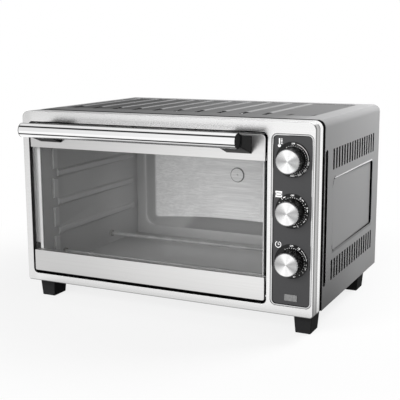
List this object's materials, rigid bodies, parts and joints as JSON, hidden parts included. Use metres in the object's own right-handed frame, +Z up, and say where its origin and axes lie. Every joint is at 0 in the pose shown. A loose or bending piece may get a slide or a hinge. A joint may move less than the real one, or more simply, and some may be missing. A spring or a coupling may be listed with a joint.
{
  "type": "countertop toaster oven",
  "caption": "Countertop toaster oven with a drop-down glass door, bar handle, rotary control knobs, painted vented shell and a convection fan.",
  "frame": {"origin": "on the table under the middle of the whole part's box, at the height of the feet's treads", "axes": "+X to the right seen from the front, -Y out of the front, +Z up"},
  "size_m": [0.52, 0.4614, 0.328],
  "materials": {
    "shell_paint": "satin grey paint",
    "front_steel": "horizontally brushed stainless steel",
    "chrome": "bright chrome",
    "knob_metal": "spun aluminium",
    "panel_paint": "dark grey satin paint",
    "black_plastic": "fine-grained black plastic",
    "liner_steel": "aluminised steel sheet",
    "zinc_steel": "zinc-plated sheet",
    "bright_steel": "turned and plated steel",
    "heater_sheath": "heat-tinted steel tube",
    "ceramic": "glazed ceramic",
    "control_plastic": "ivory moulded plastic",
    "lamp_lens": "clear ribbed plastic",
    "motor_steel": "grey enamel",
    "fan_metal": "pressed aluminium",
    "wire_jacket": "red heat-proof sleeve",
    "door_glass": "toughened glass"
  },
  "bodies": {
    "housing": {"outer_shell": "shell_paint", "rear_cover": "shell_paint", "front_fascia": "front_steel", "panel_trim": "chrome", "control_panel": "panel_paint", "fascia_spacer": "black_plastic", "foot_front_left": "black_plastic", "foot_front_right": "black_plastic", "foot_rear_left": "black_plastic", "foot_rear_right": "black_plastic", "cord_gland": "black_plastic", "liner_left_wall": "liner_steel", "liner_right_wall": "liner_steel", "liner_floor": "liner_steel", "liner_roof": "liner_steel", "liner_back": "liner_steel", "liner_front_frame": "liner_steel", "back_cap": "liner_steel", "bottom_plate": "zinc_steel", "control_bracket": "zinc_steel", "fan_housing": "zinc_steel", "hinge_brackets": "zinc_steel", "foot_screws": "bright_steel", "rear_screws": "bright_steel", "door_spring": "bright_steel", "heater_lower_front": "heater_sheath", "heater_lower_rear": "heater_sheath", "heater_upper_front": "heater_sheath", "heater_upper_rear": "heater_sheath", "heater_insulators": "ceramic", "thermostat": "control_plastic", "function_switch": "control_plastic", "timer": "control_plastic", "pilot_lamp_body": "control_plastic", "terminal_block": "control_plastic", "pilot_lamp_lens": "lamp_lens", "fan_motor": "motor_steel", "wiring_loom": "wire_jacket"},
    "door": {"door_glass": "door_glass", "door_head_rail": "front_steel", "door_sill_rail": "front_steel", "head_rail_caps": "black_plastic", "hinge_blocks": "black_plastic", "hinge_pins": "bright_steel", "handle_tube": "chrome", "handle_plugs": "black_plastic", "handle_bracket_left": "black_plastic", "handle_bracket_right": "black_plastic", "handle_screws": "bright_steel"},
    "temperature_control": {"temperature_knob": "chrome", "temperature_knob_face": "knob_metal", "temperature_spindle": "bright_steel"},
    "function_control": {"function_knob": "chrome", "function_knob_face": "knob_metal", "function_spindle": "bright_steel"},
    "timer_control": {"timer_knob": "chrome", "timer_knob_face": "knob_metal", "timer_spindle": "bright_steel"},
    "fan": {"fan_impeller": "fan_metal", "fan_shaft": "bright_steel"}
  },
  "joints": [
    {"name": "door_hinge", "type": "hinge", "parent": "housing", "child": "door", "pos_m": [-0.03125, -0.16325, 0.059], "axis": [1, 0, 0], "range_deg": [0, 85], "stiffness_Nm_per_rad": 0.6, "springref_deg": -45.84},
    {"name": "temperature_turn", "type": "hinge", "parent": "housing", "child": "temperature_control", "pos_m": [0.22455, -0.16925, 0.272], "axis": [0, 1, 0], "range_deg": [0, 285]},
    {"name": "function_turn", "type": "hinge", "parent": "housing", "child": "function_control", "pos_m": [0.22455, -0.16925, 0.19525], "axis": [0, 1, 0], "range_deg": [0, 270]},
    {"name": "timer_turn", "type": "hinge", "parent": "housing", "child": "timer_control", "pos_m": [0.22455, -0.16925, 0.1185], "axis": [0, 1, 0], "range_deg": [0, 290]},
    {"name": "fan_spin", "type": "hinge", "parent": "housing", "child": "fan", "pos_m": [0.19, 0.00911, 0.1735], "axis": [1, 0, 0], "continuous": true}
  ]
}
